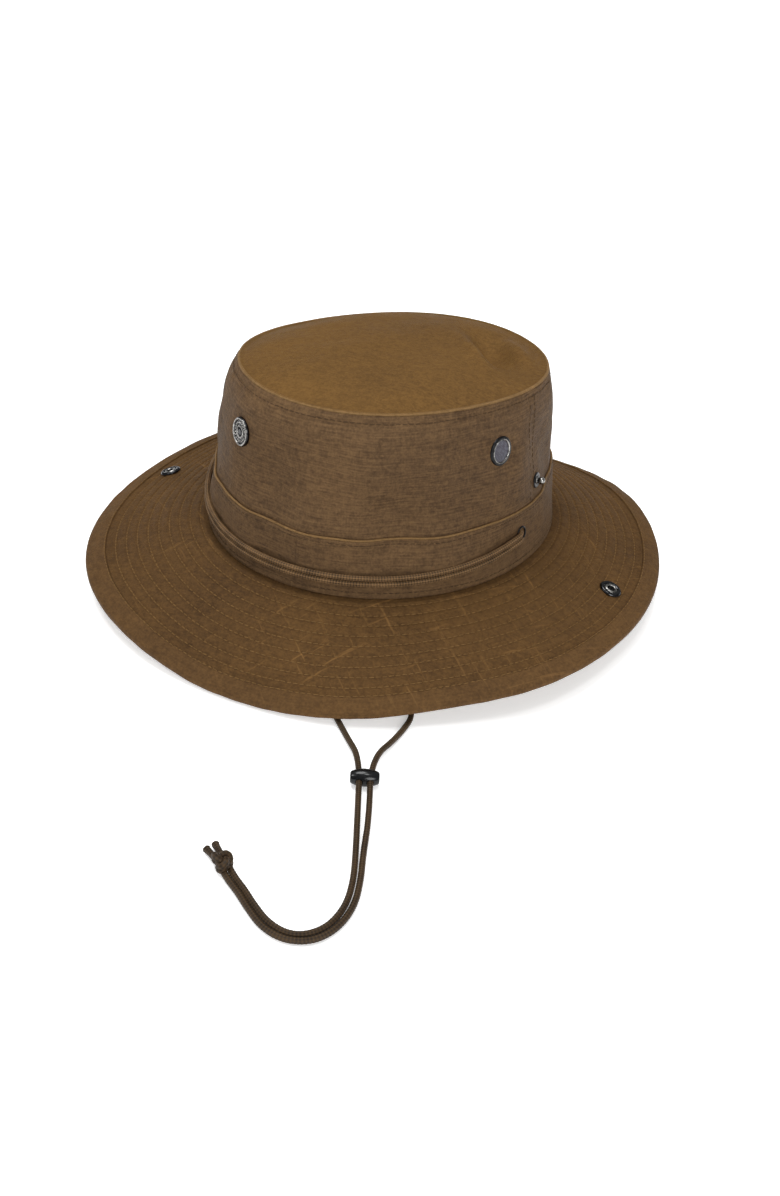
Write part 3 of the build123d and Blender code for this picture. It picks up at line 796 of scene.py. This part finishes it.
def brim_layer(turns, top, bottom, fine, quilt):
    """Sections of a brim cloth: out along its upper face and back along its lower face."""
    many, few = np.linspace(-0.014, 0.994, fine + 1), np.linspace(-0.014, 0.994, 31)
    out, back = (few, many[::-1]) if quilt < 0 else (many, few[::-1])
    share = np.concatenate([out, back])
    lift = np.concatenate([np.full(len(out), top), np.full(len(back), bottom)])
    if quilt > 0:
        lift[: len(out)] += quilting(out) - 0.0009 * np.exp(-((out / 0.035) ** 2))
    if quilt < 0:
        lift[len(out):] -= 0.5 * quilting(back)
    points = brim_cloth(np.asarray(turns)[:, None], share[None], lift[None])
    return points, points[..., :2].copy()


def hem_profile():
    """The folded hem's section: a puffed strip above, round the edge, and back below."""
    t = np.linspace(0, 1, 15)
    puff = 0.00050 + 0.00035 * np.sin(pi * t) ** 0.7
    puff[0] -= 0.0004
    upper = np.stack([HEM_START + (1.0 - HEM_START) * t, BRIM_HALF + puff], -1)
    a = np.linspace(0, pi, 11)[1:-1]
    rim = np.stack([1.0 + 0.012 * np.sin(a), (BRIM_HALF + 0.0005) * np.cos(a)], -1)
    inside = [(HEM_START + 0.002, -1), (0.998, -1), (0.998, 1), (HEM_START + 0.002, 1)]
    inner = np.array([(share, side * (BRIM_HALF + 0.00005)) for share, side in inside])
    return np.concatenate([upper, rim, upper[::-1] * (1, -1), inner])


def blended(piece, nodes):
    """Hide the CAD nodes that the piece replaces and bake its place into its mesh."""
    for node in nodes:
        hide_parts(node)
    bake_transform(piece)


def make_brim(m):
    hem = hem_profile()
    layers = (
        ("upper_cloth", BRIM_HALF, 0.00035, 1, m["brim"], "brim_canvas"),
        ("stiffener", 0.00005, -0.00030, 0, m["web"], "stiffener_web"),
        ("under_cloth", -0.00035, -BRIM_HALF, -1, m["under"], "brim_canvas"),
    )
    for word, side in (("left", 1), ("right", -1)):
        turns = side * np.linspace(0, pi, 300)
        for name, top, bottom, quilt, material, slot in layers:
            points, uv = brim_layer(turns, top, bottom, 150 if quilt else 90, quilt)
            piece = swept(f"brim_{name}_{word}_half", points, uv, material, False)
            blended(piece, [f"brim_{name}_{word}", f"brim_{name}_centre"])
        points = brim_cloth(turns[:, None], hem[None, :, 0], hem[None, :, 1])
        arc = np.broadcast_to(turns[:, None] * 0.16, points.shape[:2])
        width = np.broadcast_to(hem[None, :, 0] * 0.062, points.shape[:2])
        piece = swept(f"brim_hem_{word}_half", points, np.stack([arc, width], -1), m["hem"], False)
        nodes = ["brim_binding_" + word, "brim_binding_front", "brim_binding_back"]
        blended(piece, nodes)


# ---------------------------------------------------------------- stitches
def stitch_shape():
    """One stitch: a small capsule along x, lying on z = 0."""
    points = []
    for t, r in ((-0.5, 0.25), (-0.38, 0.8), (-0.15, 1.0), (0.15, 1.0), (0.38, 0.8), (0.5, 0.25)):
        for k in range(6):
            a = 2 * pi * k / 6
            points.append((t, r * cos(a) * 0.5, r * sin(a) * 0.5))
    faces = grid_faces(6, 6, False, True)
    faces.append([5, 4, 3, 2, 1, 0])
    faces.append([30 + k for k in range(6)])
    return np.array(points), faces


def stitch_run(line, normals, width, seed, pitch=0.0031, length=0.0024, skew=0.06):
    """Stitches along a line of points, each laid flat along it."""
    lengths = np.r_[0, np.cumsum(np.linalg.norm(np.diff(line, axis=0), axis=1))]
    at = np.arange(pitch / 2, lengths[-1], pitch)

    def read(values, places):
        return np.stack([np.interp(places, lengths, values[:, i]) for i in range(3)], -1)

    centres, up = read(line, at), read(normals, at)
    x = read(line, at + pitch * 0.3) - read(line, at - pitch * 0.3)
    x /= np.linalg.norm(x, axis=1)[:, None]
    y = np.cross(up, x)
    y /= np.linalg.norm(y, axis=1)[:, None]
    random = np.random.RandomState(seed)
    sunk = random.uniform(0.0, 1.0, len(at))[:, None] ** 3 * 0.00022
    centres = centres - up * sunk
    turn = random.normal(0, skew, len(at))[:, None]
    x, y = x * np.cos(turn) + y * np.sin(turn), y * np.cos(turn) - x * np.sin(turn)
    shape, faces = stitch_shape()
    sized = shape * (length, width, width * 0.8)
    axes = np.stack([x, y, np.cross(x, y)], 1)
    points = centres[:, None] + np.einsum("pk,nkj->npj", sized, axes)
    whole = [[i + n * len(shape) for i in f] for n in range(len(at)) for f in faces]
    return points.reshape(-1, 3), whole


def stitch_mesh(name, runs, material):
    points, faces, count = [], [], 0
    for run_points, run_faces in runs:
        points.append(run_points)
        faces += [[i + count for i in f] for f in run_faces]
        count += len(run_points)
    return mesh_object(name, np.concatenate(points), faces, material)


def make_stitches(m):
    for word, side in (("left", 1), ("right", -1)):
        turns = side * np.linspace(0, pi, 300)
        for face, where in ((1, "top"), (-1, "under")):
            runs = []
            for row in range(ROWS + 1):
                hem = row == ROWS
                share = HEM_START + 0.014 if hem else row_share(row)
                groove = quilting(share) * (1.0 if face == 1 else 0.5)
                lift = BRIM_HALF + (0.0009 if hem else 0.00012 + groove)
                line = brim_cloth(turns, share, face * lift)
                up = np.tile((0.0, 0.0, float(face)), (len(line), 1))
                runs.append(stitch_run(line, up, 0.0006, 40 + row))
            piece = stitch_mesh(f"brim_stitches_{where}_{word}", runs, m["brim_thread"])
            blended(piece, [])
    turns = np.linspace(0, 2 * pi, 600)
    band = BAND_HEIGHT / CROWN_HEIGHT
    rows = (
        (1.0 - 0.0034 / CROWN_HEIGHT, INSET, 0.0002),
        (band - 0.0025 / CROWN_HEIGHT, 0.0, 0.0002),
        (0.0035 / CROWN_HEIGHT, 0.0, 0.0001),
    )
    runs = []
    for k, (share, inset, out) in enumerate(rows):
        runs.append(stitch_run(wall_cloth(turns, share, inset, out), wall_normal(turns), 0.0005, 60 + k))
    dress(stitch_mesh("crown_stitches", runs, m["dark_thread"]))
    runs = []
    for k, shift in enumerate((0.028, -0.028)):
        for side in (1, -1):
            turn = np.full(80, side * (radians(83.1) + shift))
            line = wall_cloth(turn, np.linspace(band + 0.01, 0.95, 80), INSET, 0.0001)
            runs.append(stitch_run(line, wall_normal(turn), 0.00045, 70 + k))
    dress(stitch_mesh("side_seam_stitches", runs, m["dark_thread"]))


# ---------------------------------------------------------------- metal fittings
def make_vents(m):
    rim = rounded([(0.0055, -0.0017), (0.0055, 0.0007), (0.0061, 0.0011), (0.0072, 0.0010),
                   (0.0077, 0.0002), (0.0077, 0.0), (0.0063, 0.0), (0.0063, -0.0017)], 0.0005, 4)
    # the silver bead on the grommet's inner edge stands in for the highlight there: a painted highlight
    # in a lighter metal
    bead = rounded([(0.0054, 0.0004), (0.0054, 0.0009), (0.0060, 0.0013), (0.0063, 0.0009)], 0.0002, 3)
    rings, screens = [], []
    for k, angle in enumerate(VENT_ANGLES):
        place = crown_matrix(angle, VENT_HEIGHT, INSET)
        rings.append(lathe(f"vent_rim_{k}", rim, place, m["black_metal"]))
        rings.append(lathe(f"vent_highlight_bead_{k}", bead, place, m["silver"]))
        screens.append(vent_screen(f"screen_{k}", place, m["mesh"]))
    for piece, node, slot in ((join(rings, "vent_rims"), "vent_grommets", "gunmetal"),
                              (join(screens, "vent_wire_screens"), "vent_screens", "steel_mesh")):
        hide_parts(node)
        dress(piece)


def vent_screen(name, place, material, radius=0.0055, pitch=0.00068, wire=0.00023):
    """Woven wire cloth: two sets of wires that pass over and under each other."""
    points, faces = [], []
    count = int(radius / pitch)
    for axis in (0, 1):
        for row in range(-count, count + 1):
            off = row * pitch
            half = sqrt(max(0.0, radius**2 - off**2))
            steps = max(4, int(half * 2 / (pitch / 4)))
            first = len(points)
            for k in range(steps + 1):
                s = -half + 2 * half * k / steps
                parity = 1 if (row + axis) % 2 else -1
                z = 0.0002 + parity * wire * 0.9 * cos(pi * s / pitch)
                for j in range(5):
                    a = 2 * pi * j / 5
                    u, w = wire * cos(a), wire * sin(a)
                    points.append((s, off + u, z + w) if axis == 0 else (off + u, s, z + w))
            faces += grid_faces(steps + 1, 5, False, True, first)
    obj = mesh_object(name, points, faces, material)
    obj.data.transform(place)
    return obj


def socket_matrix(side):
    """A place on the brim at a snap socket, with z square to the cloth."""
    share = (SOCKET_X - BOTTOM_AXES[0]) / (0.15365 - BOTTOM_AXES[0])
    along = BOTTOM_AXES[1] + (0.166 - BOTTOM_AXES[1]) * share
    turn = side * (pi / 2 + SNAP_Y / along)
    here = Vector(brim_cloth(turn, share))
    out = (Vector(brim_cloth(turn, share + 0.05)) - here).normalized()
    normal = (Vector(brim_cloth(turn + 0.02, share)) - here).cross(out).normalized()
    normal = normal if normal.z > 0 else -normal
    matrix = Matrix((out, normal.cross(out), normal)).transposed().to_4x4()
    matrix.translation = here
    return matrix


def make_snaps(m):
    ball = [(0.002 * sin(a), 0.003 - 0.002 * cos(a)) for a in np.linspace(0.72, pi, 14)]
    stem = [(0.0, 0.0007), (0.0022, 0.0007), (0.0016, 0.0011)] + ball
    base = [(0.0, 0.0001), (0.0040, 0.0001), (0.0042, 0.0004), (0.0039, 0.0007), (0.0032, 0.0008),
            (0.0027, 0.0007), (0.0, 0.0007)]
    studs = []
    for side in (1, -1):
        place = crown_matrix(stud_angle(side), STUD_HEIGHT, INSET)
        studs.append(lathe(f"stud_base_{side}", base, place, m["black_metal"]))
        studs.append(lathe(f"stud_ball_{side}", stem, place, m["silver"]))
    piece = join(studs, "snap_ball_studs")
    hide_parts("snap_studs")
    dress(piece)
    socket = rounded([(0.0034, 0.0012), (0.0034, 0.0020), (0.0042, 0.0026), (0.0052, 0.0026),
                      (0.0060, 0.0018), (0.0060, 0.0013)], 0.0004, 3)
    lip_profile = rounded([(0.0021, 0.0010), (0.0021, 0.0024), (0.0028, 0.0027), (0.0036, 0.0021),
                           (0.0036, 0.0012)], 0.0003, 3)
    cap = rounded([(0.0, -0.0029), (0.0034, -0.0028), (0.0054, -0.0022), (0.0060, -0.0016),
                   (0.0060, -0.0014), (0.0, -0.0014)], 0.0003, 3)
    seat = rounded([(0.0, 0.0012), (0.0026, 0.0012), (0.0026, 0.0009), (0.0, 0.0009)], 0.0001, 2)
    for word, side in (("left", 1), ("right", -1)):
        place = socket_matrix(side)
        ring = lathe(f"socket_ring_{word}", socket, place, m["gunmetal"])
        lip = lathe(f"socket_lip_{word}", lip_profile, place, m["silver"])
        floor = lathe(f"socket_seat_{word}", seat, place, m["black_metal"])
        piece = join([ring, lip, floor], f"snap_socket_face_{word}")
        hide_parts(f"snap_socket_{word}")
        dress(piece, "brim_" + word)
        back = lathe(f"snap_cap_dome_{word}", cap, place, m["gunmetal"])
        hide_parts(f"snap_cap_{word}")
        dress(back, "brim_" + word)


def make_eyelets(m):
    rim = rounded([(0.0031, -0.0042), (0.0031, 0.0004), (0.0034, 0.0007), (0.0039, 0.0006),
                   (0.0041, 0.0001), (0.00345, 0.0), (0.00345, -0.0042)], 0.0003, 3)
    rings = [
        lathe(f"eyelet_{s}", rim, crown_matrix(s * EYELET_ANGLE, EYELET_HEIGHT), m["black_metal"])
        for s in (1, -1)
    ]
    piece = join(rings, "cord_eyelet_rims")
    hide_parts("cord_eyelets")
    dress(piece)


def make_emblem(m):
    """A round metal rivet disc with a plain beaded border and a ringed boss."""
    place = crown_matrix(EMBLEM_ANGLE, EMBLEM_HEIGHT, INSET)
    profile = [(0.0, 0.0018), (0.0014, 0.0018), (0.0018, 0.0013), (0.0026, 0.0013), (0.0030, 0.0016),
               (0.0034, 0.0013), (0.0058, 0.0013), (0.0062, 0.0018), (0.0070, 0.0018),
               (0.0073, 0.0014), (0.0073, 0.0002), (0.0, 0.0001)]
    parts = [lathe("emblem_base", rounded(profile, 0.0002, 3), place, m["gunmetal"], 64)]
    rims = ([(0.0060, 0.0016), (0.0062, 0.0021), (0.0068, 0.0021), (0.0070, 0.0016)],
            [(0.0024, 0.0012), (0.0026, 0.0019), (0.0032, 0.0019), (0.0034, 0.0012)])
    for k, rim in enumerate(rims):
        parts.append(lathe(f"emblem_rim_{k}", rounded(rim, 0.0002, 3), place, m["silver"], 64))
    bead = [(0.0006 * sin(a), 0.0014 - 0.0006 * cos(a)) for a in np.linspace(pi / 2, pi, 5)]
    for k in range(20):
        a = 2 * pi * k / 20
        spot = place @ Matrix.Translation((0.0047 * cos(a), 0.0047 * sin(a), 0))
        parts.append(lathe(f"bead_{k}", bead, spot, m["silver"], 8))
    piece = join(parts, "emblem_rivet")
    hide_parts("emblem_disc")
    dress(piece)


def dress_nodes(m):
    """Better materials on the CAD pieces that stay."""
    kept = {"cord_toggle": "plastic", "vent_washers": "gunmetal", "snap_stud_washers": "gunmetal",
            "eyelet_washers": "black_metal", "emblem_washer": "gunmetal"}
    for node, word in kept.items():
        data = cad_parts[node].data
        if not data.materials:
            data.materials.append(m[word])
        for k in range(len(data.materials)):
            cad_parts[node].material_slots[k].material = m[word]


# ---------------------------------------------------------------- studio
def make_studio():
    """A white sweep under a soft sky that is brightest overhead, and a broad key light."""
    scene = bpy.context.scene
    scene.view_settings.view_transform = "Standard"
    n = Nodes("studio_floor")
    place = n.add("ShaderNodeTexCoord").outputs["Object"]
    n.set(Base_Color=n.mix(n.noise(place, 3.0), rgb(244, 244, 243), rgb(250, 250, 250)), Roughness=0.9)
    n.set(Emission_Color=(1.0, 1.0, 1.0, 1.0), Emission_Strength=0.42, Specular_IOR_Level=0.0)
    size = 6.0
    corners = [(x * size, y * size, -0.0003) for x, y in ((-1, -1), (1, -1), (1, 1), (-1, 1))]
    floor = mesh_object("studio_floor", corners, [(0, 1, 2, 3)], n.material, smooth=False)
    world = bpy.data.worlds.new("studio")
    world.use_nodes = True
    tree = world.node_tree
    coordinates = tree.nodes.new("ShaderNodeTexCoord")
    split = tree.nodes.new("ShaderNodeSeparateXYZ")
    sky = tree.nodes.new("ShaderNodeMapRange")
    for socket, value in (("From Min", 0.0), ("From Max", 0.9), ("To Min", 0.10), ("To Max", 0.5)):
        sky.inputs[socket].default_value = value
    tree.links.new(coordinates.outputs["Generated"], split.inputs[0])
    tree.links.new(split.outputs[2], sky.inputs["Value"])
    tree.links.new(sky.outputs[0], tree.nodes["Background"].inputs["Strength"])
    tree.nodes["Background"].inputs["Color"].default_value = (1.0, 1.0, 1.0, 1.0)
    scene.world = world
    suns = (("key", 1.9, 30, (-0.28, 0.12, 1.0)), ("fill", 1.5, 30, (0.75, -0.7, 0.5)))
    for name, energy, angle, source in suns:
        data = bpy.data.lights.new(name, "SUN")
        data.energy = energy
        data.angle = radians(angle)
        lamp = bpy.data.objects.new(name, data)
        bpy.context.collection.objects.link(lamp)
        lamp.rotation_euler = (-Vector(source)).to_track_quat("-Z", "Y").to_euler()
    glints = (("glint_left", (-0.5, -0.7, 0.8), 0.16, 1.6), ("glint_top", (0.25, -0.25, 1.0), 0.2, 1.6))
    for name, spot, width, power in glints:
        data = bpy.data.lights.new(name, "AREA")
        data.size = width
        data.energy = power
        lamp = bpy.data.objects.new(name, data)
        bpy.context.collection.objects.link(lamp)
        lamp.location = spot
        aim = Vector((0, 0, 0.06)) - Vector(spot)
        lamp.rotation_euler = aim.to_track_quat("-Z", "Y").to_euler()


def main():
    make_camera()
    m = make_materials()
    make_cords(m)
    make_crown(m)
    make_tip(m)
    make_brim(m)
    make_stitches(m)
    make_vents(m)
    make_snaps(m)
    make_eyelets(m)
    make_emblem(m)
    dress_nodes(m)
    make_studio()


main()
